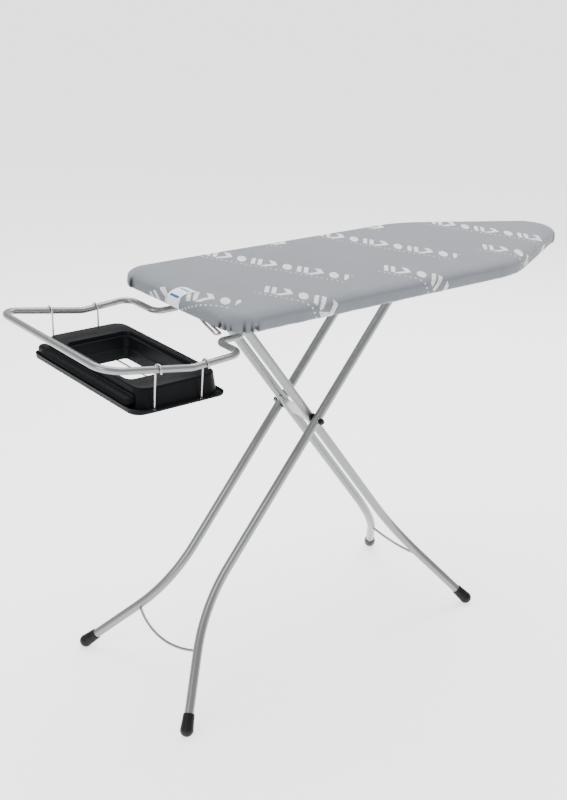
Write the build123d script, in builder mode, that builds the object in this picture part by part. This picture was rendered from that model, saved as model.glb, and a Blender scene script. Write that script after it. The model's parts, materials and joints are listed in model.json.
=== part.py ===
"""Folding ironing board on two crossed pairs of tube legs, with a tube rest for a steam iron.

Millimetres, +X towards the nose, +Y to the left, +Z up.
The origin lies on the floor under the middle of the whole outline.
"""
from build123d import *
from math import cos, radians, sin, tan
import os

os.makedirs("parts", exist_ok=True)

# Board: outline and layers
board_length = 1240.0
board_width = 450.0
rest_reach = 316.0
nose_x = (board_length + rest_reach) / 2
tail_x = nose_x - board_length
tail_radius = 60.0
shoulder_radius = 300.0
taper_angle = 25.9
nose_radius = 76.0
hem_z = 945.0
mesh_z = 972.5
mesh_thickness = 1.0
pad_thickness = 10.8
cover_top_z = 986.0
cloth = 1.5
sheet = 1.5
rim_inset = 2.0
rim_flange = 14.0
hem_width = 24.0
hem_cord_radius = 2.0

# Legs: angle to the floor in the highest position, and lengths along the leg
leg_angle = 51.57
upper_arm = 406.0
lower_arm = 770.5
tube_radius = 11.25
tube_wall = 1.5
leg_bend_start = 415.0
leg_bend_radius = 384.0
leg_bend_angle = 32.0
outer_half_gap = 69.2
inner_half_gap = 41.1
leg_top_overhang = 9.0
foot_radius = 16.0
foot_centre_z = 15.6
foot_sleeve = 36.0
foot_plug = 8.0
brace_at = 615.0
brace_sag = 30.0
brace_radius = 3.5

# Hinge of the inner legs, and pivot between the two pairs
hinge_x = -339.5
hinge_z = foot_centre_z + (upper_arm + lower_arm) * sin(radians(leg_angle))
pivot_x = hinge_x + upper_arm * cos(radians(leg_angle))
pivot_z = hinge_z - upper_arm * sin(radians(leg_angle))
crossbar_x = hinge_x + 2 * upper_arm * cos(radians(leg_angle))
axle_radius = 5.0
sleeve_radius = 12.0
sleeve_half = 54.0
bracket_half = 54.5
bracket_plate = 3.0
running_clearance = 0.06
pivot_radius = 4.0

# Crossbar of the outer legs and its rails
crossbar_radius = 8.0
crossbar_half = 96.0
rail_y = 91.0
rail_inner = 23.0
rail_depth = 15.5
roller_radius = 10.2
roller_start = 84.5
roller_width = 9.5
rail_start_x = crossbar_x - 34.0
rail_end_x = crossbar_x + 345.0
rail_tongue = 18.0
frame_z = hinge_z + rail_inner / 2 + sheet

# Cross members of the frame: rectangular tubes between the rim walls
beam_width = 30.0
beam_overlap = 4.0
tail_beam_x = tail_x + 42.0
middle_beam_x = -205.0
rear_beam_x = rail_start_x + beam_overlap - beam_width / 2
front_beam_x = rail_end_x - beam_overlap + beam_width / 2

# Height lever: a long rod with a comb whose notches hold the crossbar
rod_y = 50.0
rod_z = 958.0
rod_radius = 3.0
handle_z = 940.0
comb_y = -45.0
comb_thickness = 2.5
notch_pitch = 26.0
notch_count = 8
notch_width = 17.0
tooth_width = 9.0
tooth_height = 14.5

# Iron rest
loop_radius = 7.5
loop_wall = 1.2
loop_half = 217.0
stub_y = 118.0
stub_z = frame_z - loop_radius
stub_end_x = -185.0
loop_end_z = 932.4
loop_dip_z = 898.6
loop_dip_x = -564.0
wire_radius = 2.0
tray_x = -576.0
tray_top_z = 865.0
tray_wall = 3.0
tray_foot_z = 803.0

sides = ((1, "left"), (-1, "right"))
apex_x = nose_x + nose_radius * (1 / sin(radians(taper_angle)) - 1)


def board_outline(inset):
    """Flat outline of the board, smaller by the inset: blunt tail, straight sides, tapered nose."""
    half = board_width / 2
    shoulder_x = apex_x - half / tan(radians(taper_angle))
    with BuildSketch(mode=Mode.PRIVATE) as outline:
        with BuildLine():
            Polyline(
                (tail_x, -half), (shoulder_x, -half), (apex_x, 0), (shoulder_x, half), (tail_x, half),
                close=True,
            )
        make_face()
        fillet(outline.vertices().group_by(Axis.X)[0], tail_radius)
        fillet([v for v in outline.vertices() if abs(v.X - shoulder_x) < 1], shoulder_radius)
        fillet(outline.vertices().sort_by(Axis.X)[-1], nose_radius)
        if inset:
            offset(amount=-inset, mode=Mode.REPLACE)
    return outline.sketch


def save(builder, name):
    """Label a finished piece and write it to its own file."""
    builder.part.label = name
    export_step(builder.part, f"parts/{name}.step")


def with_mirror(points):
    """A run of points on the left, followed by its mirror image on the right in reverse."""
    return points + [(x, -y, z) for x, y, z in reversed(points)]


def slab_plane(y_from, thickness):
    """Upright plane whose extrusion by the thickness fills y_from to y_from + thickness."""
    return Plane.XZ.offset(-(y_from + thickness))


# ---- Board top -------------------------------------------------------------------------------
# Steel mesh: a sheet with staggered rows of long diamond openings, plain near the rim
diamond_length = 34.0
diamond_width = 11.0
mesh_pitch_x = 44.0
mesh_pitch_y = 17.0
mesh_margin = 40.0
pierced = board_outline(mesh_margin).face()
openings = []
for row in range(-12, 13):
    for column in range(-14, 18):
        x = (column + 0.5 * (row % 2)) * mesh_pitch_x
        y = row * mesh_pitch_y
        if pierced.is_inside(Vector(x, y, 0)):
            diamond = Polyline(
                (x - diamond_length / 2, y), (x, y - diamond_width / 2),
                (x + diamond_length / 2, y), (x, y + diamond_width / 2),
                close=True,
            )
            openings.append(Wire(diamond.edges()))
mesh_face = Face(board_outline(rim_inset).face().outer_wire(), openings)
with BuildPart() as mesh_top:
    with BuildSketch(Plane.XY.offset(mesh_z)):
        add(mesh_face)
    extrude(amount=mesh_thickness)
save(mesh_top, "mesh_top")

# Rim of folded steel sheet: an upright wall with a flange turned in at its foot
with BuildPart() as rim_frame:
    with BuildSketch(Plane.XY.offset(frame_z - sheet)):
        add(board_outline(rim_inset))
        add(board_outline(rim_inset + sheet + rim_flange), mode=Mode.SUBTRACT)
    extrude(amount=sheet)
    with BuildSketch(Plane.XY.offset(frame_z - sheet)):
        add(board_outline(rim_inset))
        add(board_outline(rim_inset + sheet), mode=Mode.SUBTRACT)
    extrude(amount=mesh_z - frame_z + sheet)
save(rim_frame, "rim_frame")

# Felt and foam pad between the mesh and the cover
with BuildPart() as cover_pad:
    with BuildSketch(Plane.XY.offset(mesh_z + mesh_thickness)):
        add(board_outline(rim_inset))
    extrude(amount=pad_thickness)
save(cover_pad, "cover_pad")

# Cotton cover: top, skirt round the rim, and hem turned in under it
with BuildPart() as cover:
    with BuildSketch(Plane.XY.offset(hem_z)):
        add(board_outline(0))
    extrude(amount=cover_top_z - hem_z)
    with BuildSketch(Plane.XY.offset(hem_z + cloth)):
        add(board_outline(cloth))
    extrude(amount=cover_top_z - hem_z - 2 * cloth, mode=Mode.SUBTRACT)
    with BuildSketch(Plane.XY.offset(hem_z)):
        add(board_outline(hem_width))
    extrude(amount=cloth, mode=Mode.SUBTRACT)
save(cover, "cover")

# Draw cord that gathers the hem
cord_loop = board_outline(hem_width + hem_cord_radius).face().outer_wire()
with BuildPart() as hem_cord:
    with BuildLine() as cord_path:
        add(cord_loop.moved(Location((0, 0, hem_z + hem_cord_radius))))
    with BuildSketch(cord_path.wire() ^ 0):
        Circle(hem_cord_radius)
    sweep(transition=Transition.RIGHT)
save(hem_cord, "hem_cord")

# Woven tag sewn to the skirt at the tail
tag_y = 2.0
tag_width = 44.0
tag_thickness = 0.8
tag_from_z = hem_z + 3.0
tag_to_z = cover_top_z - 6.0
with BuildPart() as cover_tag:
    with BuildSketch(Plane.YZ.offset(tail_x - tag_thickness)):
        with Locations((tag_y, (tag_from_z + tag_to_z) / 2)):
            Rectangle(tag_width, tag_to_z - tag_from_z)
    extrude(amount=tag_thickness)
save(cover_tag, "cover_tag")

# ---- Frame under the mesh --------------------------------------------------------------------
screw_radius = 2.0
screw_hole = 2.05
screw_reach = 5.0
head_radius = 4.0
head_height = 2.4
head_round = 1.2
clamp_ear = 11.0
clamp_length = 14.0
bracket_screw_y = 68.0
beam_half = board_width / 2 - rim_inset - sheet
tail_corner_room = 13.0
front_end_x = front_beam_x + beam_width / 2
front_beam_half = (apex_x - front_end_x) * tan(radians(taper_angle)) - (rim_inset + sheet) / cos(
    radians(taper_angle)
)
ear_screw = loop_radius + sheet + clamp_ear / 2
rail_screw_x = (rail_start_x - rail_tongue / 2, rail_end_x + rail_tongue / 2)

clamp_places = [(x, s * stub_y) for x in (hinge_x, middle_beam_x) for s, side in sides]
clamp_screws = [(x, y + dy) for x, y in clamp_places for dy in (-ear_screw, ear_screw)]
bracket_screws = [(hinge_x + dx, s * bracket_screw_y) for dx in (-9, 9) for s, side in sides]
rail_screws = [(x, s * rail_y) for x in rail_screw_x for s, side in sides]

# Cross members; all but the one at the tail are pierced as bearings for the lever rod
beams = (
    ("tail_cross_member", tail_beam_x, beam_half - tail_corner_room),
    ("hinge_cross_member", hinge_x, beam_half),
    ("middle_cross_member", middle_beam_x, beam_half),
    ("rear_rail_cross_member", rear_beam_x, beam_half),
    ("front_rail_cross_member", front_beam_x, front_beam_half),
)
for name, x, half in beams:
    with BuildPart() as beam:
        with BuildSketch(slab_plane(-half, 2 * half)):
            with Locations((x, (frame_z + mesh_z) / 2)):
                Rectangle(beam_width, mesh_z - frame_z)
                Rectangle(beam_width - 2 * sheet, mesh_z - frame_z - 2 * sheet, mode=Mode.SUBTRACT)
        extrude(amount=2 * half)
        if x > tail_beam_x:
            with BuildSketch(Plane.YZ.offset(x - beam_width)):
                with Locations((rod_y, rod_z)):
                    Circle(rod_radius + running_clearance)
            extrude(amount=2 * beam_width, mode=Mode.SUBTRACT)
        screws_here = [
            (sx, sy)
            for sx, sy in clamp_screws + bracket_screws + rail_screws
            if abs(sx - x) < beam_width / 2
        ]
        if screws_here:
            with BuildSketch(Plane.XY.offset(frame_z - 1)):
                with Locations(*screws_here):
                    Circle(screw_hole)
            extrude(amount=sheet + 2, mode=Mode.SUBTRACT)
    save(beam, name)

# Guide rails: C channels open to the middle, with a tongue at both ends for the screws
for s, side in sides:
    with BuildPart() as guide_rail:
        with BuildSketch(Plane.YZ.offset(rail_start_x)):
            with Locations((s * rail_y, hinge_z)):
                Rectangle(rail_depth, rail_inner + 2 * sheet)
            with Locations((s * (rail_y - sheet), hinge_z)):
                Rectangle(rail_depth, rail_inner, mode=Mode.SUBTRACT)
        extrude(amount=rail_end_x - rail_start_x)
        with BuildSketch(Plane.XY.offset(frame_z - sheet)):
            with Locations(*[(x, s * rail_y) for x in rail_screw_x]):
                Rectangle(rail_tongue, rail_depth)
                Circle(screw_hole, mode=Mode.SUBTRACT)
        extrude(amount=sheet)
    save(guide_rail, f"guide_rail_{side}")

# Hinge brackets: an ear with the axle hole and a flange screwed under the cross member
for s, side in sides:
    ear_from = bracket_half if s > 0 else -bracket_half - bracket_plate
    flange_y = s * (bracket_half + bracket_plate + 10.0)
    with BuildPart() as hinge_bracket:
        with BuildSketch(slab_plane(ear_from, bracket_plate)):
            with Locations((hinge_x, hinge_z)):
                Circle(axle_radius + 6)
            with Locations((hinge_x, (hinge_z + frame_z) / 2)):
                Rectangle(2 * axle_radius + 12, frame_z - hinge_z)
            with Locations((hinge_x, hinge_z)):
                Circle(axle_radius, mode=Mode.SUBTRACT)
        extrude(amount=bracket_plate)
        with BuildSketch(Plane.XY.offset(frame_z - bracket_plate)):
            with Locations((hinge_x, flange_y)):
                Rectangle(beam_width, 20)
            with Locations(*[point for point in bracket_screws if point[1] * s > 0]):
                Circle(screw_hole, mode=Mode.SUBTRACT)
        extrude(amount=bracket_plate)
    save(hinge_bracket, f"hinge_bracket_{side}")

# Hinge axle and its push-on caps
axle_half = 64.0
cap_thickness = 4.0
with BuildPart() as hinge_axle:
    with BuildSketch(slab_plane(-axle_half, 2 * axle_half)):
        with Locations((hinge_x, hinge_z)):
            Circle(axle_radius)
    extrude(amount=2 * axle_half)
    chamfer(hinge_axle.edges().filter_by(GeomType.CIRCLE), 0.8)
save(hinge_axle, "hinge_axle")

with BuildPart() as axle_caps:
    for y_from in (bracket_half + bracket_plate, -bracket_half - bracket_plate - cap_thickness):
        with BuildSketch(slab_plane(y_from, cap_thickness)):
            with Locations((hinge_x, hinge_z)):
                Circle(axle_radius + 3)
                Circle(axle_radius, mode=Mode.SUBTRACT)
        extrude(amount=cap_thickness)
save(axle_caps, "axle_caps")

# Screws of the frame, all put in from below
screw_seats = (
    [(x, y, frame_z - sheet) for x, y in clamp_screws]
    + [(x, y, frame_z - bracket_plate) for x, y in bracket_screws]
    + [(x, y, frame_z - sheet) for x, y in rail_screws]
)
with BuildPart() as frame_screws:
    for x, y, seat_z in screw_seats:
        with BuildSketch(Plane.XY.offset(seat_z - head_height)):
            with Locations((x, y)):
                Circle(head_radius)
        extrude(amount=head_height)
        with BuildSketch(Plane.XY.offset(seat_z)):
            with Locations((x, y)):
                Circle(screw_radius)
        extrude(amount=screw_reach)
    head_levels = {seat_z - head_height for x, y, seat_z in screw_seats}
    rims = [edge for edge in frame_screws.edges().filter_by(GeomType.CIRCLE) if edge.radius > screw_radius]
    undersides = [edge for edge in rims if min(abs(edge.center().Z - z) for z in head_levels) < 0.01]
    fillet(undersides, head_round)
save(frame_screws, "frame_screws")

# ---- Iron rest -------------------------------------------------------------------------------
# One bent tube: two stubs under the board, a drop, wide shoulders and a level end bar
loop_end_x = -nose_x + loop_radius
drop_from_x = -352.0
drop_to_x = -368.0
drop_to_z = 900.0
low_turn_x = -430.0
shoulder_turn_x = -440.0
shoulder_turn_z = 905.5
loop_points = with_mirror([
    (stub_end_x, stub_y, stub_z),
    (drop_from_x, stub_y, stub_z),
    (drop_to_x, stub_y, drop_to_z),
    (low_turn_x, stub_y, drop_to_z),
    (shoulder_turn_x, loop_half - 0.5, shoulder_turn_z),
    (loop_dip_x, loop_half - 2.0, loop_dip_z),
    (loop_end_x, loop_half, loop_end_z),
])
bend_radii = [14.0, 14.0, 24.0, 30.0, 90.0, 48.0]
with BuildPart() as rest_loop:
    with BuildLine() as loop_path:
        FilletPolyline(*loop_points, radius=bend_radii + bend_radii[::-1])
    with BuildSketch(loop_path.wire() ^ 0):
        Circle(loop_radius)
        Circle(loop_radius - loop_wall, mode=Mode.SUBTRACT)
    sweep()
save(rest_loop, "rest_loop")

with BuildPart() as rest_loop_plugs:
    for s, side in sides:
        with BuildSketch(Plane.YZ.offset(stub_end_x)):
            with Locations((s * stub_y, stub_z)):
                Circle(loop_radius)
        extrude(amount=3)
        with BuildSketch(Plane.YZ.offset(stub_end_x - 10)):
            with Locations((s * stub_y, stub_z)):
                Circle(loop_radius - loop_wall)
        extrude(amount=10)
save(rest_loop_plugs, "rest_loop_plugs")

# Straps that hold the stubs under two cross members
with BuildPart() as rest_loop_clamps:
    for x, y in clamp_places:
        with BuildSketch(Plane.YZ.offset(x - clamp_length / 2)):
            with Locations((y, stub_z)):
                Circle(loop_radius + sheet)
            with Locations((y, stub_z + loop_radius / 2)):
                Rectangle(2 * (loop_radius + sheet), loop_radius)
            with Locations((y, frame_z - sheet / 2)):
                Rectangle(2 * (loop_radius + sheet + clamp_ear), sheet)
            with Locations((y, stub_z)):
                Circle(loop_radius, mode=Mode.SUBTRACT)
            with Locations((y, stub_z + loop_radius)):
                Rectangle(2 * loop_radius, 2 * loop_radius, mode=Mode.SUBTRACT)
            with Locations((y, frame_z + 5)):
                Rectangle(60, 10, mode=Mode.SUBTRACT)
        extrude(amount=clamp_length)
    with BuildSketch(Plane.XY.offset(frame_z - sheet - 1)):
        with Locations(*clamp_screws):
            Circle(screw_hole)
    extrude(amount=sheet + 2, mode=Mode.SUBTRACT)
save(rest_loop_clamps, "rest_loop_clamps")

# Cradle wires: each hooks over both sides of the loop and passes under the tray
hook = loop_radius + wire_radius + 0.2
hook_half = hook + 0.4
hook_tip = 7.0
slot_y = 201.5
wire_low_z = tray_foot_z - wire_radius
wire_slot_z = 815.0
wire_turn_y = 187.0
wire_turn_z = 811.5
wire_well_y = 126.0
wire_bends = [9.0, 9.0, 6.0, 8.0, 8.0]
cradles = (
    ("tail_cradle_wire", -646.0, 216.0, 912.0),
    ("board_cradle_wire", -530.0, 215.4, 900.5),
)
for name, x, y, z in cradles:
    wire_points = with_mirror([
        (x, y + hook_half, z - hook_tip),
        (x, y + hook_half, z + hook),
        (x, y - hook_half, z + hook),
        (x, slot_y, wire_slot_z),
        (x, wire_turn_y, wire_turn_z),
        (x, wire_well_y, wire_low_z),
    ])
    with BuildPart() as cradle_wire:
        with BuildLine() as wire_path:
            FilletPolyline(*wire_points, radius=wire_bends + wire_bends[::-1])
        with BuildSketch(wire_path.wire() ^ 0):
            Circle(wire_radius)
        sweep()
    save(cradle_wire, name)

# Tray: a deep frame with a rolled tail edge, a well round the opening and a flange at its foot
tray_length = 196.0
tray_width = 380.0
tray_radius = 28.0
inner_radius = tray_radius - tray_wall
skirt_foot_z = 822.0
skirt_spread = 12.0
well_from_x = -650.0
well_to_x = -470.0
opening_to_x = -507.0
well_half = 119.0
roll_radius = 12.0
roll_x = tray_x - tray_length / 2 - 7.0
roll_z = 836.0
slot_length = 22.0
slot_width = 8.0
skirt_length = tray_length + skirt_spread
skirt_width = tray_width + skirt_spread
skirt_inside = (skirt_length - 2 * tray_wall, skirt_width - 2 * tray_wall)
flange_length = skirt_length + 16.0
flange_width = skirt_width + 24.0
flange_radius = 20.0
flange_x = tray_x - 8.0
well_corner = 12.0
with BuildPart() as iron_tray:
    with BuildSketch(Plane.XY.offset(skirt_foot_z)):
        with Locations((tray_x, 0)):
            RectangleRounded(skirt_length, skirt_width, tray_radius)
    with BuildSketch(Plane.XY.offset(tray_top_z)):
        with Locations((tray_x, 0)):
            RectangleRounded(tray_length, tray_width, tray_radius)
    loft()
    fillet(iron_tray.edges().filter_by_position(Axis.Z, tray_top_z - 1, tray_top_z + 1), 4)
    with BuildSketch(slab_plane(-tray_width / 2 + 2, tray_width - 4)):
        with Locations((roll_x, roll_z)):
            Circle(roll_radius)
    extrude(amount=tray_width - 4)
    with BuildSketch(Plane.XY.offset(skirt_foot_z)):
        with Locations((tray_x, 0)):
            RectangleRounded(*skirt_inside, inner_radius)
    with BuildSketch(Plane.XY.offset(tray_top_z - tray_wall)):
        with Locations((tray_x, 0)):
            RectangleRounded(tray_length - 2 * tray_wall, tray_width - 2 * tray_wall, inner_radius)
    loft(mode=Mode.SUBTRACT)
    with BuildSketch(Plane.XY.offset(skirt_foot_z - tray_wall)):
        with Locations((flange_x, 0)):
            RectangleRounded(flange_length, flange_width, flange_radius)
        with Locations((tray_x, 0)):
            RectangleRounded(*skirt_inside, inner_radius, mode=Mode.SUBTRACT)
        slots = [(x, s * slot_y) for name, x, y, z in cradles for s, side in sides]
        with Locations(*slots):
            Rectangle(slot_length, slot_width, mode=Mode.SUBTRACT)
    extrude(amount=tray_wall)
    well_x = (well_from_x + well_to_x) / 2
    well_length = well_to_x - well_from_x
    with BuildSketch(Plane.XY.offset(tray_foot_z)):
        with Locations((well_x, 0)):
            RectangleRounded(
                well_length + 2 * tray_wall, 2 * (well_half + tray_wall), well_corner + tray_wall
            )
            RectangleRounded(well_length, 2 * well_half, well_corner, mode=Mode.SUBTRACT)
    extrude(amount=tray_top_z - tray_foot_z - tray_wall)
    opening_x = (well_from_x + opening_to_x) / 2
    with BuildSketch(Plane.XY.offset(tray_top_z - tray_wall - 1)):
        with Locations((opening_x, 0)):
            RectangleRounded(opening_to_x - well_from_x, 2 * well_half, well_corner)
    extrude(amount=tray_wall + 2, mode=Mode.SUBTRACT)
save(iron_tray, "iron_tray")

# ---- Legs ------------------------------------------------------------------------------------
half_turn = radians(leg_bend_angle)
bend_corner = leg_bend_start + leg_bend_radius * tan(half_turn / 2)


def leg_plane(towards):
    """Plane of one pair of legs: origin on the pivot, x down the leg, y to the left."""
    down = (towards * cos(radians(leg_angle)), 0, -sin(radians(leg_angle)))
    normal = (sin(radians(leg_angle)), 0, towards * cos(radians(leg_angle)))
    return Plane(origin=(pivot_x, 0, pivot_z), x_dir=down, z_dir=normal)


def foot_spot(half_gap):
    """Centre of the foot ball in the plane of the legs."""
    return lower_arm, half_gap + (lower_arm - bend_corner) * tan(half_turn)


def leg_rod(plane, s, top, half_gap, radius):
    """Solid of one leg's centre line: straight, one wide bend outwards, straight to the foot."""
    foot_s, foot_y = foot_spot(half_gap)
    end_s = foot_s - foot_plug * cos(half_turn)
    end_y = foot_y - foot_plug * sin(half_turn)
    with BuildPart(mode=Mode.PRIVATE) as rod:
        with BuildLine(plane) as path:
            FilletPolyline(
                (top, s * half_gap), (bend_corner, s * half_gap), (end_s, s * end_y),
                radius=leg_bend_radius,
            )
        with BuildSketch(path.wire() ^ 0):
            Circle(radius)
        sweep()
    return rod.part


def cross_hole(x, z, radius, y_from, length):
    """Cylinder across the board, for drilling and coping the leg tubes."""
    with BuildPart(mode=Mode.PRIVATE) as bar:
        with BuildSketch(slab_plane(y_from, length)):
            with Locations((x, z)):
                Circle(radius)
        extrude(amount=length)
    return bar.part


def foot_cap(plane, s, half_gap):
    """Ribbed plastic cap pushed over the tube end, round at the tip and worn flat on the floor."""
    foot_s, foot_y = foot_spot(half_gap)
    centre = plane.from_local_coords(Vector(foot_s, s * foot_y, 0))
    ahead = plane.from_local_coords(Vector(foot_s + cos(half_turn), s * (foot_y + sin(half_turn)), 0))
    axis_dir = ahead - centre
    with BuildPart(mode=Mode.PRIVATE) as cap:
        with BuildSketch(Plane(origin=centre, x_dir=axis_dir, z_dir=plane.z_dir)):
            with BuildLine():
                Polyline(
                    (foot_radius * cos(radians(105)), foot_radius * sin(radians(105))),
                    (-foot_sleeve, tube_radius + 2.4),
                    (-foot_sleeve, tube_radius),
                    (-foot_plug, tube_radius),
                    (-foot_plug, 0),
                    (foot_radius, 0),
                )
                CenterArc((0, 0), foot_radius, 0, 105)
            make_face()
            with Locations(*[(t, tube_radius + 2.4 - t * 0.02 + 0.7) for t in (-31, -26, -21)]):
                Rectangle(2.0, 2.0, mode=Mode.SUBTRACT)
        revolve(axis=Axis(centre, axis_dir))
        split(bisect_by=Plane.XY, keep=Keep.TOP)
    return cap.part


outer_plane = leg_plane(-1)
inner_plane = leg_plane(1)
pivot_hole = cross_hole(pivot_x, pivot_z, pivot_radius + running_clearance, -120, 240)
crossbar_hole = cross_hole(crossbar_x, hinge_z, crossbar_radius, -120, 240)
sleeve_cope = cross_hole(hinge_x, hinge_z, sleeve_radius, -120, 240)
pairs = (
    ("outer", outer_plane, -upper_arm - leg_top_overhang, outer_half_gap, crossbar_hole),
    ("inner", inner_plane, -upper_arm, inner_half_gap, sleeve_cope),
)
for pair, plane, top, half_gap, top_cut in pairs:
    solid_legs = []
    for s, side in sides:
        rod = leg_rod(plane, s, top, half_gap, tube_radius)
        solid_legs.append(rod)
        with BuildPart() as leg:
            add(rod)
            add(leg_rod(plane, s, top, half_gap, tube_radius - tube_wall), mode=Mode.SUBTRACT)
            add(pivot_hole, mode=Mode.SUBTRACT)
            add(top_cut, mode=Mode.SUBTRACT)
        save(leg, f"{pair}_leg_{side}")
        with BuildPart() as cap:
            add(foot_cap(plane, s, half_gap))
        save(cap, f"{pair}_foot_cap_{side}")
    brace_y = half_gap + leg_bend_radius * (1 - cos(half_turn)) - 4
    with BuildPart() as brace:
        with BuildLine(plane) as arc:
            ThreePointArc((brace_at, -brace_y), (brace_at + brace_sag, 0), (brace_at, brace_y))
        with BuildSketch(arc.wire() ^ 0):
            Circle(brace_radius)
        sweep()
        for rod in solid_legs:
            add(rod, mode=Mode.SUBTRACT)
    save(brace, f"{pair}_brace")

# Crossbar through the tops of the outer legs, with a nylon roller at each end
with BuildPart() as crossbar:
    with BuildSketch(slab_plane(-crossbar_half, 2 * crossbar_half)):
        with Locations((crossbar_x, hinge_z)):
            Circle(crossbar_radius)
            Circle(crossbar_radius - sheet, mode=Mode.SUBTRACT)
    extrude(amount=2 * crossbar_half)
save(crossbar, "crossbar")

for s, side in sides:
    roller_from = roller_start if s > 0 else -roller_start - roller_width
    with BuildPart() as slide_roller:
        with BuildSketch(slab_plane(roller_from, roller_width)):
            with Locations((crossbar_x, hinge_z)):
                Circle(roller_radius)
                Circle(crossbar_radius + running_clearance, mode=Mode.SUBTRACT)
        extrude(amount=roller_width)
        rims = slide_roller.edges().filter_by(GeomType.CIRCLE)
        chamfer([edge for edge in rims if edge.radius > roller_radius - 0.1], 0.8)
    save(slide_roller, f"slide_roller_{side}")

# Plugs in the open tops of the outer legs
plug_plate = 2.0
plug_depth = 8.0
with BuildPart() as outer_tube_plugs:
    for s, side in sides:
        top = outer_plane.from_local_coords(Vector(-upper_arm - leg_top_overhang, s * outer_half_gap, 0))
        with BuildSketch(Plane(origin=top, z_dir=-outer_plane.x_dir)):
            Circle(tube_radius)
        extrude(amount=plug_plate)
save(outer_tube_plugs, "outer_tube_plugs")

# Sleeve welded across the tops of the inner legs, turning on the hinge axle
with BuildPart() as hinge_sleeve:
    with BuildSketch(slab_plane(-sleeve_half, 2 * sleeve_half)):
        with Locations((hinge_x, hinge_z)):
            Circle(sleeve_radius)
            Circle(axle_radius + running_clearance, mode=Mode.SUBTRACT)
    extrude(amount=2 * sleeve_half)
save(hinge_sleeve, "hinge_sleeve")

# Pressed plate across the inner legs at the pivot, its lower edge cut in a wave
saddle_half = 34.0
saddle_offset = 5.5
saddle_top = -52.0
saddle_long = 26.0
saddle_short = 8.0
with BuildPart() as saddle_plate:
    with BuildSketch(inner_plane.offset(-saddle_offset - sheet)):
        with BuildLine():
            Polyline(
                (saddle_short, saddle_half),
                (saddle_top, saddle_half),
                (saddle_top, -saddle_half),
                (saddle_long, -saddle_half),
            )
            Spline(
                (saddle_long, -saddle_half), (14, 0), (saddle_short, saddle_half),
                tangents=[(-1, 1), (-1, 1)],
            )
        make_face()
    extrude(amount=sheet)
    for s, side in sides:
        add(leg_rod(inner_plane, s, -upper_arm, inner_half_gap, tube_radius), mode=Mode.SUBTRACT)
save(saddle_plate, "saddle_plate")

# Pivot: axle through all four tubes, black spacers between the pairs, washers and cap nuts
spacer_radius = 11.0
pivot_gap = 0.3
washer_radius = 9.0
washer_thickness = 1.5
nut_radius = 8.0
nut_height = 7.0
nut_dome = 3.0
spacer_from = inner_half_gap + tube_radius
spacer_width = outer_half_gap - tube_radius - pivot_gap - spacer_from
washer_from = outer_half_gap + tube_radius + pivot_gap
nut_from = washer_from + washer_thickness
axle_end = nut_from + nut_height
rings = (
    ("pivot_spacers", spacer_from, spacer_width, spacer_radius),
    ("pivot_washers", washer_from, washer_thickness, washer_radius),
)
with BuildPart() as pivot_axle:
    with BuildSketch(slab_plane(-axle_end, 2 * axle_end)):
        with Locations((pivot_x, pivot_z)):
            Circle(pivot_radius)
    extrude(amount=2 * axle_end)
save(pivot_axle, "pivot_axle")

for name, ring_from, ring_width, ring_radius in rings:
    with BuildPart() as ring:
        for y_from in (ring_from, -ring_from - ring_width):
            with BuildSketch(slab_plane(y_from, ring_width)):
                with Locations((pivot_x, pivot_z)):
                    Circle(ring_radius)
                    Circle(pivot_radius + running_clearance, mode=Mode.SUBTRACT)
            extrude(amount=ring_width)
    save(ring, name)

with BuildPart() as pivot_cap_nuts:
    for s, side in sides:
        with BuildSketch(slab_plane(nut_from if s > 0 else -axle_end, nut_height)):
            with Locations((pivot_x, pivot_z)):
                RegularPolygon(nut_radius, 6)
                Circle(pivot_radius, mode=Mode.SUBTRACT)
        extrude(amount=nut_height)
        with BuildSketch(slab_plane(axle_end if s > 0 else -axle_end - nut_dome, nut_dome)):
            with Locations((pivot_x, pivot_z)):
                Circle(nut_radius * 0.8)
        extrude(amount=nut_dome)
        tips = pivot_cap_nuts.edges().filter_by_position(Axis.Y, s * (axle_end + nut_dome) - 0.1,
                                                         s * (axle_end + nut_dome) + 0.1)
        fillet(tips, nut_dome * 0.8)
save(pivot_cap_nuts, "pivot_cap_nuts")

# ---- Height lever ----------------------------------------------------------------------------
# Rod along the board, bent at the tail into a hairpin handle that shows under the near corner
rod_end_x = front_end_x + 6.0
grip_x = tail_x - 14.0
rod_points = [
    (rod_end_x, rod_y, rod_z),
    (-378.0, rod_y, rod_z),
    (-400.0, rod_y - 10, handle_z),
    (tail_x + 10, -99.0, handle_z),
    (grip_x + 1, -172.0, handle_z),
    (grip_x + 14, -172.0, handle_z),
    (tail_x + 21, -99.0, handle_z),
]
with BuildPart() as release_rod:
    with BuildLine() as rod_path:
        FilletPolyline(*rod_points, radius=[12.0, 12.0, 60.0, 5.5, 5.5])
    with BuildSketch(rod_path.wire() ^ 0):
        Circle(rod_radius)
    sweep()
save(release_rod, "release_rod")

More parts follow.
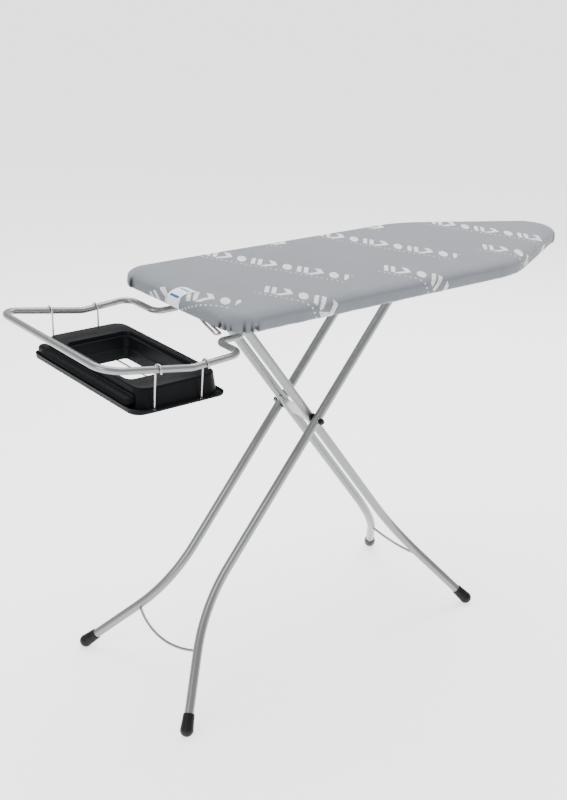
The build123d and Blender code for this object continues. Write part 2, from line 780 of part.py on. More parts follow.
# Comb welded on the rod: a flat web with a toothed edge turned down beside the crossbar
comb_half = notch_width / 2 + tooth_width
comb_start_x = crossbar_x - comb_half
comb_length = (notch_count - 1) * notch_pitch + 2 * comb_half
comb_floor = rod_z + rod_radius
comb_middle_y = (comb_y + rod_y) / 2
window_count = 4
window_length = 38.0
window_width = 24.0
window_pitch = comb_length / window_count
tooth_middle_z = comb_floor - tooth_height / 2
windows = [(comb_start_x + window_pitch * (i + 0.5), comb_middle_y) for i in range(window_count)]
notches = [(crossbar_x + notch_pitch * i, tooth_middle_z) for i in range(notch_count)]
with BuildPart() as height_comb:
    with BuildSketch(Plane.XY.offset(comb_floor)):
        with Locations((comb_start_x + comb_length / 2, comb_middle_y)):
            Rectangle(comb_length, rod_y - comb_y + comb_thickness)
        with Locations(*windows):
            SlotOverall(window_length, window_width, mode=Mode.SUBTRACT)
    extrude(amount=comb_thickness)
    with BuildSketch(slab_plane(comb_y - comb_thickness / 2, comb_thickness)):
        with Locations((comb_start_x + comb_length / 2, tooth_middle_z)):
            Rectangle(comb_length, tooth_height)
        with Locations(*notches):
            Rectangle(notch_width, tooth_height, mode=Mode.SUBTRACT)
    extrude(amount=comb_thickness)
save(height_comb, "height_comb")

# Return spring wound on the rod behind the rear cross member
spring_from = rail_start_x + beam_overlap + 2.0
spring_length = comb_start_x - 2.0 - spring_from
with BuildPart() as return_spring:
    with BuildSketch(Plane.YZ.offset(spring_from)):
        with Locations((rod_y, rod_z)):
            Circle(rod_radius + 2.2)
            Circle(rod_radius + 0.3, mode=Mode.SUBTRACT)
    extrude(amount=spring_length)
save(return_spring, "return_spring")
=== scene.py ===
"""Folding ironing board with a padded cover, crossed tube legs and a rest for the iron."""
import json
import math
import random

import bmesh
import bpy
from mathutils import Matrix, Vector, noise


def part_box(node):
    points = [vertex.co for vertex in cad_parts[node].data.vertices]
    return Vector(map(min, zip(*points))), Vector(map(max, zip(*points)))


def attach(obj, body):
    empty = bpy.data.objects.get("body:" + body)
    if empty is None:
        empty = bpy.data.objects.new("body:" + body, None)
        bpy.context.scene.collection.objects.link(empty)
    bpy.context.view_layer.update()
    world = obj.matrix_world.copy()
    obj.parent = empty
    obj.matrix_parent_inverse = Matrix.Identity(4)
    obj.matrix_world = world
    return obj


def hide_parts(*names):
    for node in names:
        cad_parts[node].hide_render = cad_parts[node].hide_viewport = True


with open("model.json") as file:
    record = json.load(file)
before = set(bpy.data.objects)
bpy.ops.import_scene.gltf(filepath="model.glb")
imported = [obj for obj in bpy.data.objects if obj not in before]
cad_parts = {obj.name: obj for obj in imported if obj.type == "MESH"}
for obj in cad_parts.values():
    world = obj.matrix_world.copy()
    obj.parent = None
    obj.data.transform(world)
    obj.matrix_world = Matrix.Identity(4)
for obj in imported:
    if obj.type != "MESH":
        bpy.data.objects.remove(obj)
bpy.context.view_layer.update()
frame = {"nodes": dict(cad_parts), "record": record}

# ---- Camera -----------------------------------------------------------------------------------
# A standing person's view from beyond the tail, to the right of the board, looking down at it.
camera_place = Vector((-1.9102, -2.0968, 1.7834))
camera_yaw = 0.7020
camera_pitch = -0.3890
camera_roll = 0.0487
ahead = Vector((
    math.sin(camera_yaw) * math.cos(camera_pitch),
    math.cos(camera_yaw) * math.cos(camera_pitch),
    math.sin(camera_pitch),
))
level = Vector((math.cos(camera_yaw), -math.sin(camera_yaw), 0))
upright = level.cross(ahead)
tilt = Matrix.Rotation(camera_roll, 3, -ahead)
camera = bpy.data.objects.new("camera", bpy.data.cameras.new("camera"))
bpy.context.collection.objects.link(camera)
turned = Matrix((tilt @ level, tilt @ upright, -ahead)).transposed().to_4x4()
camera.matrix_world = Matrix.Translation(camera_place) @ turned
camera.data.lens = 55.09
bpy.context.scene.camera = camera

# ---- Cotton cover -------------------------------------------------------------------------------
# One piece of light grey cotton twill, printed in white, pulled over the pad. Its hem is turned in
# under the rim round a draw cord, so it lies flat on top and gathers only where the outline turns.
board_low, board_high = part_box("cover")
tail_x = board_low.x
nose_x = board_high.x
half_width = board_high.y
hem_z = board_low.z
top_z = board_high.z
tail_radius = 0.060
shoulder_radius = 0.300
nose_radius = 0.076
taper = math.radians(25.9)
apex_x = nose_x + nose_radius * (1 / math.sin(taper) - 1)
shoulder_x = apex_x - half_width / math.tan(taper)
column_step = 0.0026
cloth = 0.0008
hem_turn = 0.0225
roll_across = 0.030
roll_drop = 0.0165


def outline_walk(step):
    """Points round the board, each with its outward direction and its corner share."""
    corners = [
        (Vector((tail_x, -half_width)), tail_radius),
        (Vector((shoulder_x, -half_width)), shoulder_radius),
        (Vector((apex_x, 0)), nose_radius),
        (Vector((shoulder_x, half_width)), shoulder_radius),
        (Vector((tail_x, half_width)), tail_radius),
    ]
    walk = []
    count = len(corners)
    leave = None
    for i in range(count + 1):
        here, radius = corners[i % count]
        into = (here - corners[(i - 1) % count][0]).normalized()
        out = (corners[(i + 1) % count][0] - here).normalized()
        turn = into.angle(out)
        setback = radius * math.tan(turn / 2)
        arrive = here - into * setback
        if leave is not None:
            run = arrive - leave
            normal = Vector((into.y, -into.x))
            pieces = max(1, round(run.length / step))
            walk += [(leave + run * k / pieces, normal, 0.0) for k in range(pieces)]
        if i < count:
            normal = Vector((into.y, -into.x))
            centre = arrive - normal * radius
            fine = step if radius > nose_radius else step / 2
            pieces = max(2, round(radius * turn / fine))
            for k in range(pieces):
                spoke = Matrix.Rotation(turn * k / pieces, 2) @ normal
                walk.append((centre + spoke * radius, spoke, min(1.0, tail_radius / radius)))
        leave = here + out * setback
    return walk


def cover_profile():
    """Section of the cover from the hem to the top: (distance in from the outline, height)."""
    section = [(hem_turn, hem_z + 0.0026), (hem_turn - 0.0015, hem_z + 0.0008)]
    section += [(inset, hem_z + 0.0004) for inset in (0.017, 0.012, 0.008)]
    section += [(0.0048, hem_z + 0.0009), (0.0024, hem_z + 0.0024), (0.0009, hem_z + 0.0050)]
    wall_top = top_z - roll_drop
    steps = 6
    for k in range(1, steps):
        lift = k / steps
        section.append((0.0004 * (1 - lift), hem_z + 0.005 + (wall_top - hem_z - 0.005) * lift))
    steps = 9
    for k in range(steps + 1):
        angle = math.pi / 2 * k / steps
        section.append((roll_across * (1 - math.cos(angle)), wall_top + roll_drop * math.sin(angle)))
    return section


def new_piece(name, shape, finish, smooth=True):
    """Turn a finished bmesh into an object with its finish."""
    mesh = bpy.data.meshes.new(name)
    if smooth:
        for face in shape.faces:
            face.smooth = True
    shape.to_mesh(mesh)
    shape.free()
    mesh.materials.append(finish)
    piece = bpy.data.objects.new(name, mesh)
    bpy.context.collection.objects.link(piece)
    return piece


class Signal:
    """A shader socket that Python arithmetic can be done on."""

    def __init__(self, finish, socket):
        self.finish = finish
        self.socket = socket

    def math(self, operation, *values):
        return self.finish.node("ShaderNodeMath", values, operation=operation)

    def __add__(self, other):
        return self.math("ADD", self, other)

    def __sub__(self, other):
        return self.math("SUBTRACT", self, other)

    def __rsub__(self, other):
        return self.math("SUBTRACT", other, self)

    def __mul__(self, other):
        return self.math("MULTIPLY", self, other)

    def __lt__(self, other):
        return self.math("LESS_THAN", self, other)

    def __gt__(self, other):
        return self.math("GREATER_THAN", self, other)

    def __mod__(self, other):
        return self.math("FLOORED_MODULO", self, other)

    def __abs__(self):
        return self.math("ABSOLUTE", self)

    def sine(self):
        return self.math("SINE", self)

    def either(self, other):
        return self.math("MAXIMUM", self, other)

    __radd__ = __add__
    __rmul__ = __mul__


class Finish:
    """A material and the one method that adds a node to it."""

    def __init__(self, name, **constants):
        self.material = bpy.data.materials.new(name)
        self.material.use_nodes = True
        self.tree = self.material.node_tree
        self.shader = self.tree.nodes["Principled BSDF"]
        for socket, value in constants.items():
            self.shader.inputs[socket.replace("_", " ")].default_value = value

    def node(self, kind, sockets=(), output=0, stops=(), **settings):
        made = self.tree.nodes.new(kind)
        for name, value in settings.items():
            setattr(made, name, value)
        for i, (place, shade) in enumerate(stops):
            ramp = made.color_ramp.elements
            stop = ramp[i] if i < len(ramp) else ramp.new(place)
            stop.position = place
            stop.color = (*shade, 1)
        pairs = sockets.items() if isinstance(sockets, dict) else enumerate(sockets)
        for key, value in pairs:
            if isinstance(value, Signal):
                self.tree.links.new(value.socket, made.inputs[key])
            else:
                made.inputs[key].default_value = value
        return Signal(self, made.outputs[output])

    def place(self):
        return self.node("ShaderNodeTexCoord", output="Object")

    def grain(self, scale, detail=2.0, stretch=(1, 1, 1), where=None):
        """Noise of a given scale per metre, from 0 to 1."""
        spot = self.node("ShaderNodeMapping", {"Vector": where or self.place(), "Scale": stretch})
        return self.node("ShaderNodeTexNoise", {"Vector": spot, "Scale": scale, "Detail": detail})

    def blend(self, share, first, second):
        """Colour between two colours by a share."""
        return self.node(
            "ShaderNodeMix", {"Factor": share, 6: first, 7: second}, output=2, data_type="RGBA",
        )

    def feed(self, socket, signal):
        self.tree.links.new(signal.socket, self.shader.inputs[socket])
        return self

    def bump(self, height, depth, strength=1.0):
        normal = self.node(
            "ShaderNodeBump", {"Height": height, "Strength": strength, "Distance": depth},
        )
        return self.feed("Normal", normal)


def cotton_print():
    """Grey twill with rows of plain white marks: slanted bars, leaves and chevrons beside dots."""
    finish = Finish("printed_cotton", Roughness=0.85, Sheen_Weight=0.2, Sheen_Roughness=0.5)
    flat = finish.node("ShaderNodeUVMap", uv_map="cloth")
    x = finish.node("ShaderNodeSeparateXYZ", [flat], output="X")
    y = finish.node("ShaderNodeSeparateXYZ", [flat], output="Y")
    slant = math.radians(65)
    along = x * math.cos(slant) - y * math.sin(slant)
    across = x * math.sin(slant) + y * math.cos(slant)
    half_row = 0.026
    cell_length = 0.040
    dot_pitch = 0.013
    dot_radius = 0.0023
    dots_beside = 0.037
    lean_slope = 0.4
    bar_place, bar_half_width, bar_reach = 0.0088, 0.0054, 0.022
    leaf_half_width, leaf_half_length = 0.01195, 0.02182
    chevron_slope, chevron_shift, chevron_half_width = 0.75, 0.007, 0.0078
    # each row: middle line across the slant, then its start and end along it
    rows = [
        (-0.417, -0.290, -0.038), (-0.107, -0.293, 0.085), (0.220, -0.141, 0.237), (0.520, 0.058, 0.436),
        (-0.291, -0.045, 0.207), (0.019, 0.115, 0.367), (0.349, 0.255, 0.465),
        (0.080, -0.240, -0.156), (0.378, -0.095, -0.011),
    ]
    marks = None
    for middle, start, end in rows:
        beside = across - middle
        inside = (along > start) * (along < end)
        cell = ((along - start) % cell_length) - cell_length / 2
        kind = (along - start) % (3 * cell_length)
        lean = cell + beside * lean_slope
        bars = (abs(abs(lean) - bar_place) < bar_half_width) * (abs(beside) < bar_reach)
        leaf = lean * lean * leaf_half_width ** -2 + beside * beside * leaf_half_length ** -2 < 1
        chevron = abs(cell + abs(beside) * chevron_slope - chevron_shift) < chevron_half_width
        first = kind < cell_length
        last = kind > 2 * cell_length
        row = first * bars + last * leaf + (1 - first - last) * chevron
        row = row * (abs(beside) < half_row)
        step = (along % dot_pitch) - dot_pitch / 2
        offset = beside + dots_beside
        dots = step * step + offset * offset < dot_radius * dot_radius
        row = inside * row.either(dots)
        marks = row if marks is None else marks.either(row)
    thread_rate = math.tau / 0.0011
    weave = (x * thread_rate).sine() * (y * thread_rate).sine()
    mottle = finish.grain(9, 4)
    slub = finish.grain(700, 2, (1, 6, 1))
    worn = finish.grain(260, 3)
    dye = finish.blend(mottle, (0.122, 0.136, 0.160, 1), (0.160, 0.174, 0.200, 1))
    yarn = finish.blend(slub * 0.25, dye, (0.27, 0.285, 0.305, 1))
    # Painted shade: the cloth colour is darkened towards near black in the creases of the gathered hem,
    # where shade falls in the folds.
    crease_shade = finish.node("ShaderNodeAttribute", attribute_name="crease_shade", output="Fac")
    yarn = finish.blend(crease_shade * 1.5, yarn, (0.012, 0.013, 0.015, 1))
    ink = finish.node("ShaderNodeClamp", [marks * (worn * 1.7 - 0.02)])
    finish.feed("Base Color", finish.blend(ink, yarn, (0.78, 0.78, 0.77, 1)))
    finish.bump(weave * 0.35 + slub * 0.8 + mottle * 4, 0.0003)
    return finish.material


walk = outline_walk(column_step)
profile = cover_profile()
chance = random.Random(7)
puff = 0.0038
skirt_height = 0.034
gather_corner = 0.7
crease_chance = 0.09
crease_widths = (0.0024, 0.0042)
crease_heights = (0.018, 0.036)
creases = []
for k, (p, normal, corner) in enumerate(walk):
    if corner > gather_corner and chance.random() < crease_chance:
        creases.append((k, chance.uniform(*crease_widths), chance.uniform(*crease_heights)))


def pinch(k, lift):
    """How deep a column is in a crease of the gathered hem, from 0 to 1, at a height above it."""
    depth = 0.0
    for centre, wide, tall in creases:
        apart = min(abs(k - centre), len(walk) - abs(k - centre)) * column_step / 2
        if apart < 4 * wide and lift < tall:
            depth += math.exp(-((apart / wide) ** 2)) * (1 - lift / tall) ** 0.8
    return min(depth, 1.0)


turned_in = 0.012
hem_lift = 0.010
sway_depth = 0.0010
ripple_depth = 0.0007
hem_wander = 0.0010


def place_ring(verts, inset, height):
    """Put one ring of the cover in its place, with the slack and the gathers of the cloth."""
    lift = height - hem_z
    low = max(0.0, 1 - lift / skirt_height)
    under = inset > turned_in and lift < hem_lift
    swell = puff * math.sin(math.pi * min(1.0, 0.25 + 0.75 * lift / skirt_height))
    for k, (vert, (p, normal, corner)) in enumerate(zip(verts, walk)):
        fold = pinch(k, max(0.0, lift))
        # The crease depth is also stored on each vertex as painted shade for the cloth colour.
        vert[crease_shade_layer] = fold
        sway = noise.noise(Vector((p.x * 26, p.y * 26, lift * 9)))
        ripple = noise.noise(Vector((p.x * 95, p.y * 95, lift * 22 + 4)))
        slack = (sway_depth * sway + ripple_depth * ripple * (0.4 + corner)) * (0.25 + low)
        if corner < gather_corner:
            loose = slack
        else:
            loose = slack + fold * puff * 0.4 - swell * (1 - fold)
        inward = inset + (0.0 if under else loose)
        spot = p - normal * inward
        rise = hem_wander * low * (1 + noise.noise(Vector((p.x * 14, p.y * 14, 2.0))))
        vert.co = (spot.x, spot.y, height + rise)


def edge_ring(shape, walk):
    """A closed ring of edges with one vertex for each point of a walk."""
    verts = [shape.verts.new((p.x, p.y, 0)) for p, normal, corner in walk]
    edges = [shape.edges.new((verts[k - 1], verts[k])) for k in range(len(verts))]
    return verts, edges


def next_ring(shape, verts, edges):
    """Extrude a ring and give the new ring in the same order."""
    made = bmesh.ops.extrude_edge_only(shape, edges=edges)["geom"]
    fresh = {g for g in made if isinstance(g, bmesh.types.BMVert)}
    follow = [next(e.other_vert(v) for e in v.link_edges if e.other_vert(v) in fresh) for v in verts]
    ring = [shape.edges.get((follow[k - 1], follow[k])) for k in range(len(follow))]
    return follow, ring


def cut_faces(shape, faces, spot, direction):
    """Cut some faces of a shape along a plane."""
    edges = dict.fromkeys(e for f in faces for e in f.edges)
    verts = dict.fromkeys(v for f in faces for v in f.verts)
    bmesh.ops.bisect_plane(
        shape, geom=[*faces, *edges, *verts], dist=1e-6, plane_co=spot, plane_no=direction,
    )


distances = [0.0]
for (from_inset, from_z), (to_inset, to_z) in zip(profile, profile[1:]):
    distances.append(distances[-1] + math.hypot(to_inset - from_inset, to_z - from_z))
shape = bmesh.new()
crease_shade_layer = shape.verts.layers.float.new("crease_shade")
verts, edges = edge_ring(shape, walk)
flat_place = {}
for k, (inset, height) in enumerate(profile):
    if k:
        verts, edges = next_ring(shape, verts, edges)
    place_ring(verts, inset, height)
    flat_inset = roll_across - (distances[-1] - distances[k])
    for vert, (p, normal, corner) in zip(verts, walk):
        flat_place[vert] = p - normal * flat_inset
bmesh.ops.contextual_create(shape, geom=edges)
grid = 0.03
near_top = 0.0003
lengthways = (Vector((1, 0, 0)), tail_x, nose_x)
crossways = (Vector((0, 1, 0)), -half_width, half_width)
for direction, low_end, high_end in (lengthways, crossways):
    for k in range(1, int((high_end - low_end) / grid)):
        top_faces = [f for f in shape.faces if f.calc_center_median().z > top_z - near_top]
        cut_faces(shape, top_faces, direction * (low_end + grid * k), direction)
cloth_map = shape.loops.layers.uv.new("cloth")
for face in shape.faces:
    for loop in face.loops:
        loop[cloth_map].uv = flat_place.get(loop.vert, loop.vert.co.xy)
top_unevenness = 0.0005
for vert in shape.verts:
    share = max(0.0, (vert.co.z - top_z + roll_drop) / roll_drop)
    vert.co.z += top_unevenness * share * (noise.noise(Vector((vert.co.x * 9, vert.co.y * 9, 1.0))) - 0.6)
bmesh.ops.recalc_face_normals(shape, faces=shape.faces)
cover_area = sum(face.calc_area() for face in shape.faces)
cover = new_piece("cotton_cover", shape, cotton_print())
thick = cover.modifiers.new("cloth", "SOLIDIFY")
thick.thickness = cloth
thick.offset = -1
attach(cover, "board")
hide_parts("cover")

# ---- Pad ------------------------------------------------------------------------------------------
# Needled felt over thin foam, cut to the rim and laid loose on the mesh under the cover, which
# presses its edge round.
pad_walk = outline_walk(0.008)
pad_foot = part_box("cover_pad")[0].z + 0.0002
under_cloth = 0.0016
cloth_gap = 0.0008
wall_top = top_z - roll_drop
foot_angle = math.asin((pad_foot + under_cloth - wall_top) / roll_drop)
shape = bmesh.new()
verts, edges = edge_ring(shape, pad_walk)
pad_steps = 10
for k in range(pad_steps + 1):
    if k:
        verts, edges = next_ring(shape, verts, edges)
    angle = foot_angle + (math.pi / 2 - foot_angle) * k / pad_steps
    inset = roll_across * (1 - math.cos(angle)) + under_cloth + cloth_gap
    for vert, (p, normal, corner) in zip(verts, pad_walk):
        spot = p - normal * inset
        vert.co = (spot.x, spot.y, wall_top + roll_drop * math.sin(angle) - under_cloth)
    if k == 0:
        bmesh.ops.contextual_create(shape, geom=edges)
bmesh.ops.contextual_create(shape, geom=edges)
bmesh.ops.recalc_face_normals(shape, faces=shape.faces)
felt = Finish("needled_felt", Roughness=0.95, Sheen_Weight=0.3)
fibre = felt.grain(900, 5, (1, 2.5, 1))
felt.feed("Base Color", felt.blend(fibre, (0.62, 0.61, 0.57, 1), (0.80, 0.79, 0.75, 1)))
felt.bump(fibre + felt.grain(120, 3) * 2, 0.0006)
pad = new_piece("felt_pad", shape, felt.material)
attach(pad, "board")
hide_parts("cover_pad")

# ---- Draw cord ------------------------------------------------------------------------------------
# Braided cotton cord run through the hem all round; pulled tight it holds the skirt under the rim.
cord_low, cord_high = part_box("hem_cord")
cord_radius = (cord_high.z - cord_low.z) / 2
cord_inset = cord_low.x - tail_x + cord_radius
shape = bmesh.new()
verts, edges = edge_ring(shape, pad_walk)
sides_of_cord = 10
first_ring = edges
for j in range(sides_of_cord):
    if j:
        verts, edges = next_ring(shape, verts, edges)
    angle = math.tau * j / sides_of_cord
    for vert, (p, normal, corner) in zip(verts, pad_walk):
        spot = p - normal * (cord_inset + cord_radius * math.cos(angle))
        vert.co = (spot.x, spot.y, cord_low.z + cord_radius * (1 + math.sin(angle)))
bmesh.ops.bridge_loops(shape, edges=first_ring + edges)
bmesh.ops.recalc_face_normals(shape, faces=shape.faces)
braid = Finish("braided_cord", Roughness=0.9)
strands = braid.grain(1400, 3, (1, 1, 0.4))
braid.feed("Base Color", braid.blend(strands, (0.55, 0.55, 0.54, 1), (0.82, 0.82, 0.81, 1)))
braid.bump(strands, 0.0005)
draw_cord = new_piece("draw_cord", shape, braid.material)
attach(draw_cord, "board")
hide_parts("hem_cord")

# ---- Tag ------------------------------------------------------------------------------------------
# Woven tape folded over the tail edge and sewn down at both ends, with two plain stripes.
tag_low, tag_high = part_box("cover_tag")
tag_width = tag_high.y - tag_low.y
tag_reach = 0.036
tag_skew = 0.020
tag_lift = 0.0011
tag_pucker = 0.0004
route = [(inset, height) for inset, height in profile if height > tag_low.z and inset < roll_across]
route += [(roll_across + (tag_reach - roll_across) * k / 3, top_z) for k in range(4)]
tag_columns = 14
shape = bmesh.new()
shape.loops.layers.uv.new("tag")
bmesh.ops.create_grid(
    shape, x_segments=tag_columns, y_segments=len(route) - 1, size=1, calc_uvs=True,
)
tag_run = 0.0
for vert in shape.verts:
    k = round((vert.co.y + 1) / 2 * (len(route) - 1))
    inset, height = route[k]
    before = route[max(0, k - 1)]
    after = route[min(len(route) - 1, k + 1)]
    along = Vector((after[0] - before[0], after[1] - before[1])).normalized()
    rise = (k / (len(route) - 1)) ** 2
    sideways = tag_low.y + tag_width * (vert.co.x + 1) / 2 - tag_skew * rise
    pucker = tag_pucker * noise.noise(Vector((sideways * 90, k * 0.7, 0)))
    lift = tag_lift + pucker
    vert.co = (tail_x + inset - along.y * lift, sideways, height + along.x * lift)
for (from_inset, from_z), (to_inset, to_z) in zip(route, route[1:]):
    tag_run += math.hypot(to_inset - from_inset, to_z - from_z)
bmesh.ops.recalc_face_normals(shape, faces=shape.faces)
tape = Finish("woven_tape", Roughness=0.7, Sheen_Weight=0.15)
tape_spot = tape.node("ShaderNodeUVMap", uv_map="tag")
tape_v = tape.node("ShaderNodeSeparateXYZ", [tape_spot], output="Y")
tape_u = tape.node("ShaderNodeSeparateXYZ", [tape_spot], output="X")
stripe_margin = 0.14
tape_threads = 260
clear_ends = (tape_u > stripe_margin) * (tape_u < 1 - stripe_margin)
dark_stripe = (abs(tape_v - 0.42) < 0.045) * clear_ends
pale_stripe = (abs(tape_v - 0.72) < 0.035) * clear_ends
tape_base = tape.blend(tape.grain(1500, 2), (0.78, 0.79, 0.80, 1), (0.88, 0.89, 0.90, 1))
tape_base = tape.blend(dark_stripe, tape_base, (0.012, 0.075, 0.27, 1))
tape.feed("Base Color", tape.blend(pale_stripe, tape_base, (0.02, 0.33, 0.50, 1)))
tape.bump((tape_v * tape_threads).sine() * (tape_u * tape_threads).sine(), 0.00004)
tag = new_piece("woven_tag", shape, tape.material)
tag_thick = tag.modifiers.new("tape", "SOLIDIFY")
tag_thick.thickness = 0.0005
tag_thick.offset = 0
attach(tag, "board")
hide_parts("cover_tag")

# ---- Steel and plastic finishes of the machined pieces ----------------------------------------------
# Tubes are powder coated in satin silver, pressed sheet is zinc plated, axles and wires are bright
# drawn steel, caps and spacers are black moulded plastic with a fine grain, rollers are nylon.


def repaint(slot_name, finish):
    """Give every piece of one material slot its finish."""
    for part in frame["record"]["subparts"]:
        if part["material_slot"] == slot_name:
            for holder in frame["nodes"][part["node"]].material_slots:
                holder.material = finish.material


silver = Finish("satin_silver_coat", Metallic=0.7)
orange_peel = silver.grain(420, 3)
flake = silver.grain(2600, 2)
silver.feed("Base Color", silver.blend(flake, (0.190, 0.195, 0.200, 1), (0.285, 0.290, 0.295, 1)))
silver.feed("Roughness", orange_peel * 0.12 + 0.24)
silver.bump(orange_peel + flake * 0.4, 0.00006)
repaint("silver_coat", silver)

zinc = Finish("zinc_plate", Metallic=0.9)
spangle = zinc.node("ShaderNodeTexVoronoi", {"Vector": zinc.place(), "Scale": 160.0}, output="Color")
spangle_value = zinc.node("ShaderNodeSeparateColor", [spangle], output="Red")
zinc.feed("Base Color", zinc.blend(spangle_value * 0.6, (0.40, 0.41, 0.42, 1), (0.55, 0.56, 0.57, 1)))
zinc.feed("Roughness", zinc.grain(60, 4) * 0.2 + 0.32)
zinc.bump(zinc.grain(300, 3), 0.00008)
repaint("zinc_sheet", zinc)

bright = Finish("bright_drawn_steel", Metallic=1.0)
draw_lines = bright.grain(500, 3, (8, 1, 8))
bright.feed("Base Color", bright.blend(draw_lines, (0.48, 0.48, 0.48, 1), (0.66, 0.66, 0.65, 1)))
bright.feed("Roughness", draw_lines * 0.15 + 0.16)
repaint("bright_steel", bright)

wire = Finish("sprung_wire", Metallic=1.0)
tarnish = wire.grain(45, 4)
wire.feed("Base Color", wire.blend(tarnish, (0.33, 0.31, 0.30, 1), (0.58, 0.53, 0.49, 1)))
wire.feed("Roughness", tarnish * 0.15 + 0.18)
repaint("spring_wire", wire)

black = Finish("black_moulding", Specular_IOR_Level=0.2)
spark = black.grain(1300, 2)
black.feed("Base Color", black.blend(spark, (0.004, 0.004, 0.005, 1), (0.010, 0.010, 0.011, 1)))
black.feed("Roughness", black.grain(90, 3) * 0.18 + 0.36)
black.bump(spark, 0.00007)
repaint("black_plastic", black)

nylon = Finish("natural_nylon", Roughness=0.45, Subsurface_Weight=0.1)
haze = nylon.grain(70, 3)
nylon.feed("Base Color", nylon.blend(haze, (0.70, 0.69, 0.64, 1), (0.82, 0.81, 0.76, 1)))
nylon.bump(nylon.grain(800, 2), 0.00004)
repaint("nylon", nylon)

# ---- Return spring ----------------------------------------------------------------------------------
# Coil of fine steel wire round the lever rod; it pushes the lever back when it is let go.
coil_low, coil_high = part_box("return_spring")
coil_turns = 5
coil_wire = 0.0007
coil_steps = 20
coil_middle = (coil_low + coil_high) / 2
coil_radius = (coil_high.z - coil_low.z) / 2 - coil_wire
coil_length = coil_high.x - coil_low.x - 2 * coil_wire
shape = bmesh.new()
section = bmesh.ops.create_circle(
    shape, segments=8, radius=coil_wire, cap_ends=True,
    matrix=Matrix.Translation((coil_low.x + coil_wire, coil_middle.y, coil_middle.z + coil_radius))
    @ Matrix.Rotation(math.pi / 2, 4, "X"),
)
bmesh.ops.spin(
    shape, geom=shape.verts[:] + shape.edges[:] + shape.faces[:], cent=coil_middle, axis=(1, 0, 0),
    dvec=(coil_length / (coil_turns * coil_steps), 0, 0), angle=math.tau * coil_turns,
    steps=coil_turns * coil_steps,
)
bmesh.ops.recalc_face_normals(shape, faces=shape.faces)
spring = new_piece("coil_spring", shape, wire.material)
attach(spring, "height_lever")
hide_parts("return_spring")

# ---- Iron tray --------------------------------------------------------------------------------------
# Heat-proof moulded tray hung in two wires: a deep well round an open window, a deck with a groove
# round the well, a sloped skirt with a foot flange, and a rolled lip on the tail side.
tray_low, tray_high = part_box("iron_tray")
deck_z = tray_high.z
foot_z = tray_low.z
flange_z = 0.8195
slot_y = 0.1990, 0.2056
slot_half = 0.011
wall = 0.0024
rim_rise = 0.0030
# distance in from the tail side and from the board side, half width, corner radius, height
tray_section = [
    (0.0480, 0.0420, 0.1170, 0.010, foot_z),
    (0.0465, 0.0405, 0.1185, 0.011, foot_z + 0.0240),
    (0.0430, 0.0370, 0.1220, 0.013, foot_z + 0.0260),
    (0.0415, 0.0355, 0.1235, 0.014, deck_z - 0.0100),
    (0.0375, 0.0315, 0.1275, 0.016, deck_z - 0.0090),
    (0.0362, 0.0302, 0.1288, 0.017, deck_z - 0.0030),
    (0.0350, 0.0290, 0.1300, 0.018, deck_z - 0.0008),
    (0.0330, 0.0270, 0.1320, 0.019, deck_z),
    (0.0255, 0.0145, 0.1865, 0.025, deck_z),
    (0.0235, 0.0125, 0.1885, 0.027, deck_z - 0.0007),
    (0.0223, 0.0113, 0.1897, 0.028, deck_z - 0.0025),
    (0.0218, 0.0108, 0.1902, 0.028, deck_z - 0.0060),
    (0.0165, 0.0068, 0.1955, 0.029, flange_z + 0.0040),
    (0.0157, 0.0060, 0.1963, 0.030, flange_z + 0.0014),
    (0.0140, 0.0050, 0.1980, 0.030, flange_z),
    (0.0030, 0.0012, 0.2060, 0.024, flange_z),
    (0.0014, 0.0006, 0.2072, 0.024, flange_z + 0.0003),
    (0.0006, 0.0006, 0.2078, 0.024, flange_z + 0.0020),
    (0.0000, 0.0006, 0.2080, 0.024, flange_z + rim_rise),
]
lip_rings = 3
lip_height = 0.0075
lip_ramp = 0.050


def tray_walk(from_tail, from_board, half, radius, arc_steps=8, side_steps=8):
    """Points round one level of the tray: a rectangle with round corners."""
    tail, board = tray_low.x + from_tail, tray_high.x - from_board
    corners = (
        (board - radius, half - radius, 0.0), (tail + radius, half - radius, 0.25),
        (tail + radius, radius - half, 0.5), (board - radius, radius - half, 0.75),
    )
    walk = []
    for x, y, start in corners:
        for k in range(arc_steps + 1):
            angle = math.tau * (start + 0.25 * k / arc_steps)
            spoke = Vector((math.cos(angle), math.sin(angle)))
            point = Vector((x, y)) + spoke * radius
            if k == 0 and walk:
                last = walk[-1][0]
                walk += [(last.lerp(point, j / side_steps), spoke, 0.0) for j in range(1, side_steps)]
            walk.append((point, spoke, 1.0))
    return walk


shape = bmesh.new()
verts, edges = edge_ring(shape, tray_walk(*tray_section[0][:4]))
for k, (from_tail, from_board, half, radius, height) in enumerate(tray_section):
    if k:
        verts, edges = next_ring(shape, verts, edges)
    lip_share = (height - flange_z) / rim_rise if k >= len(tray_section) - lip_rings else 0.0
    for vert, (p, normal, corner) in zip(verts, tray_walk(from_tail, from_board, half, radius)):
        ramp = max(0.0, 1 - (p.x - tray_low.x) / lip_ramp)
        ramp = ramp * ramp * (3 - 2 * ramp)
        vert.co = (p.x, p.y, height + lip_share * lip_height * ramp)
cradle_wires = ("tail_cradle_wire", "board_cradle_wire")
cradle_x = [(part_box(name)[0].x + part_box(name)[1].x) / 2 for name in cradle_wires]
slot_top = flange_z + 0.0005
level_share = 0.95
cuts = [(Vector((x + side * slot_half, 0, 0)), Vector((1, 0, 0))) for x in cradle_x for side in (-1, 1)]
cuts += [(Vector((0, side * y, 0)), Vector((0, 1, 0))) for y in slot_y for side in (-1, 1)]
for spot, direction in cuts:
    low_faces = [f for f in shape.faces if f.calc_center_median().z < slot_top]
    cut_faces(shape, [f for f in low_faces if abs(f.normal.z) > level_share], spot, direction)
in_slot = [
    f for f in shape.faces
    if slot_y[0] < abs(f.calc_center_median().y) < slot_y[1]
    and min(abs(f.calc_center_median().x - x) for x in cradle_x) < slot_half
    and f.calc_center_median().z < slot_top
]
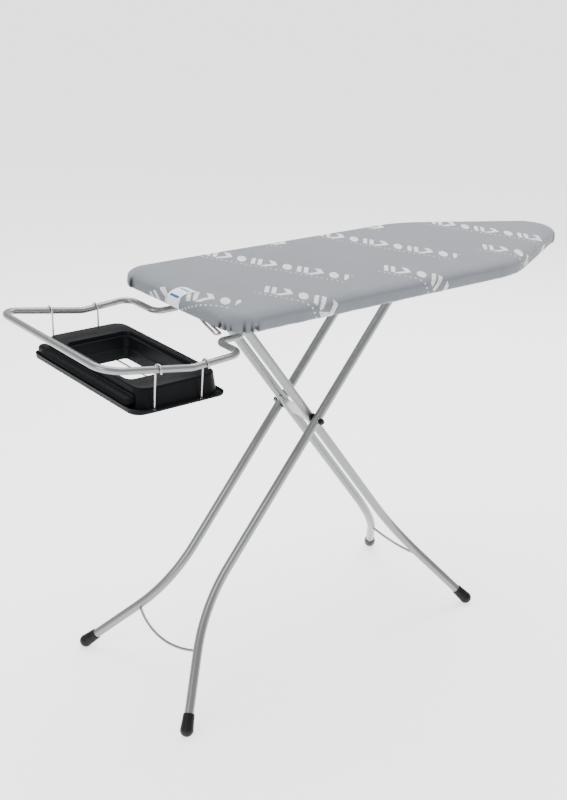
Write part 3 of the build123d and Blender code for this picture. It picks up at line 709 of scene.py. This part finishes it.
bmesh.ops.delete(shape, geom=in_slot, context="FACES")
bmesh.ops.recalc_face_normals(shape, faces=shape.faces)
deck = max(shape.faces, key=lambda f: f.calc_center_median().z)
if deck.normal.z < 0:
    bmesh.ops.reverse_faces(shape, faces=shape.faces)
bmesh.ops.solidify(shape, geom=shape.faces[:], thickness=wall)



def edges_at(verts):
    """The edges that meet some vertices, each once."""
    return list(dict.fromkeys(e for v in verts for e in v.link_edges))


roll_x = tray_low.x + 0.0150
roll_z = flange_z + 0.0165
roll_half = 0.178
roll_radius = 0.0115
roll = bmesh.ops.create_cone(
    shape, cap_ends=True, segments=28, radius1=roll_radius, radius2=roll_radius, depth=2 * roll_half,
    matrix=Matrix.Translation((roll_x, 0, roll_z)) @ Matrix.Rotation(math.pi / 2, 4, "X"),
)["verts"]
ends = [e for e in edges_at(roll) if all(abs(abs(v.co.y) - roll_half) < 1e-5 for v in e.verts)]
bmesh.ops.bevel(shape, geom=ends, offset=0.009, segments=6, affect="EDGES", profile=0.5, material=-1)
# blocks on the lip: middle x and y, thickness, length, middle height, height
lip_round = 0.36
lip_parts = (
    (tray_low.x + 0.0160, 0.170, 0.0240, 0.050, flange_z + 0.0150, 0.0300),
    (tray_low.x + 0.0075, -0.030, 0.0060, 0.230, flange_z + 0.0060, 0.0130),
)
for x, y, thick_x, long_y, z, tall in lip_parts:
    lip = bmesh.ops.create_cube(
        shape, size=1,
        matrix=Matrix.Translation((x, y, z)) @ Matrix.Diagonal((thick_x, long_y, tall, 1)),
    )["verts"]
    bmesh.ops.bevel(
        shape, geom=edges_at(lip), offset=min(thick_x, tall) * lip_round, segments=3,
        affect="EDGES", profile=0.5, material=-1,
    )
moulded = Finish("charcoal_moulding", Specular_IOR_Level=0.06)
texture = moulded.grain(1100, 2)
haze = moulded.grain(26, 3)
moulded.feed("Base Color", moulded.blend(haze, (0.0028, 0.0038, 0.0046, 1), (0.0056, 0.0070, 0.0082, 1)))
moulded.feed("Roughness", haze * 0.16 + 0.30)
moulded.bump(texture, 0.00006)
tray = new_piece("iron_rest_tray", shape, moulded.material)
tray.data.set_sharp_from_angle(angle=math.radians(38))
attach(tray, "board")
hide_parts("iron_tray")

# ---- Studio -------------------------------------------------------------------------------------
# Pale floor and soft boxes; none of it belongs to the board.
shape = bmesh.new()
bmesh.ops.create_grid(shape, x_segments=1, y_segments=1, size=60)
floor_finish = Finish("studio_floor", Base_Color=(0.9, 0.9, 0.9, 1), Roughness=0.9)
floor_finish.shader.inputs["Emission Color"].default_value = (1, 1, 1, 1)
floor_finish.shader.inputs["Emission Strength"].default_value = 1.7
floor = new_piece("studio_floor", shape, floor_finish.material, smooth=False)


board_middle = Vector((0, 0, 0.6))


def soft_box(name, place, size, power):
    """Square area light that faces the middle of the board."""
    lamp = bpy.data.objects.new(name, bpy.data.lights.new(name, "AREA"))
    bpy.context.collection.objects.link(lamp)
    lamp.data.size = size
    lamp.data.energy = power
    place = Vector(place)
    turned = (board_middle - place).to_track_quat("-Z", "Y").to_matrix().to_4x4()
    lamp.matrix_world = Matrix.Translation(place) @ turned


soft_box("top_light", (0.3, 0.8, 3.3), 3.0, 150)
soft_box("fill_light", (-3.2, -0.6, 2.2), 1.4, 40)
soft_box("rim_light", (3.0, 1.0, 2.4), 1.6, 60)
sky = bpy.data.worlds.new("studio_sky")
sky.use_nodes = True
sky.node_tree.nodes["Background"].inputs["Color"].default_value = (1, 1, 1, 1)
sky.node_tree.nodes["Background"].inputs["Strength"].default_value = 0.75
bpy.context.scene.world = sky
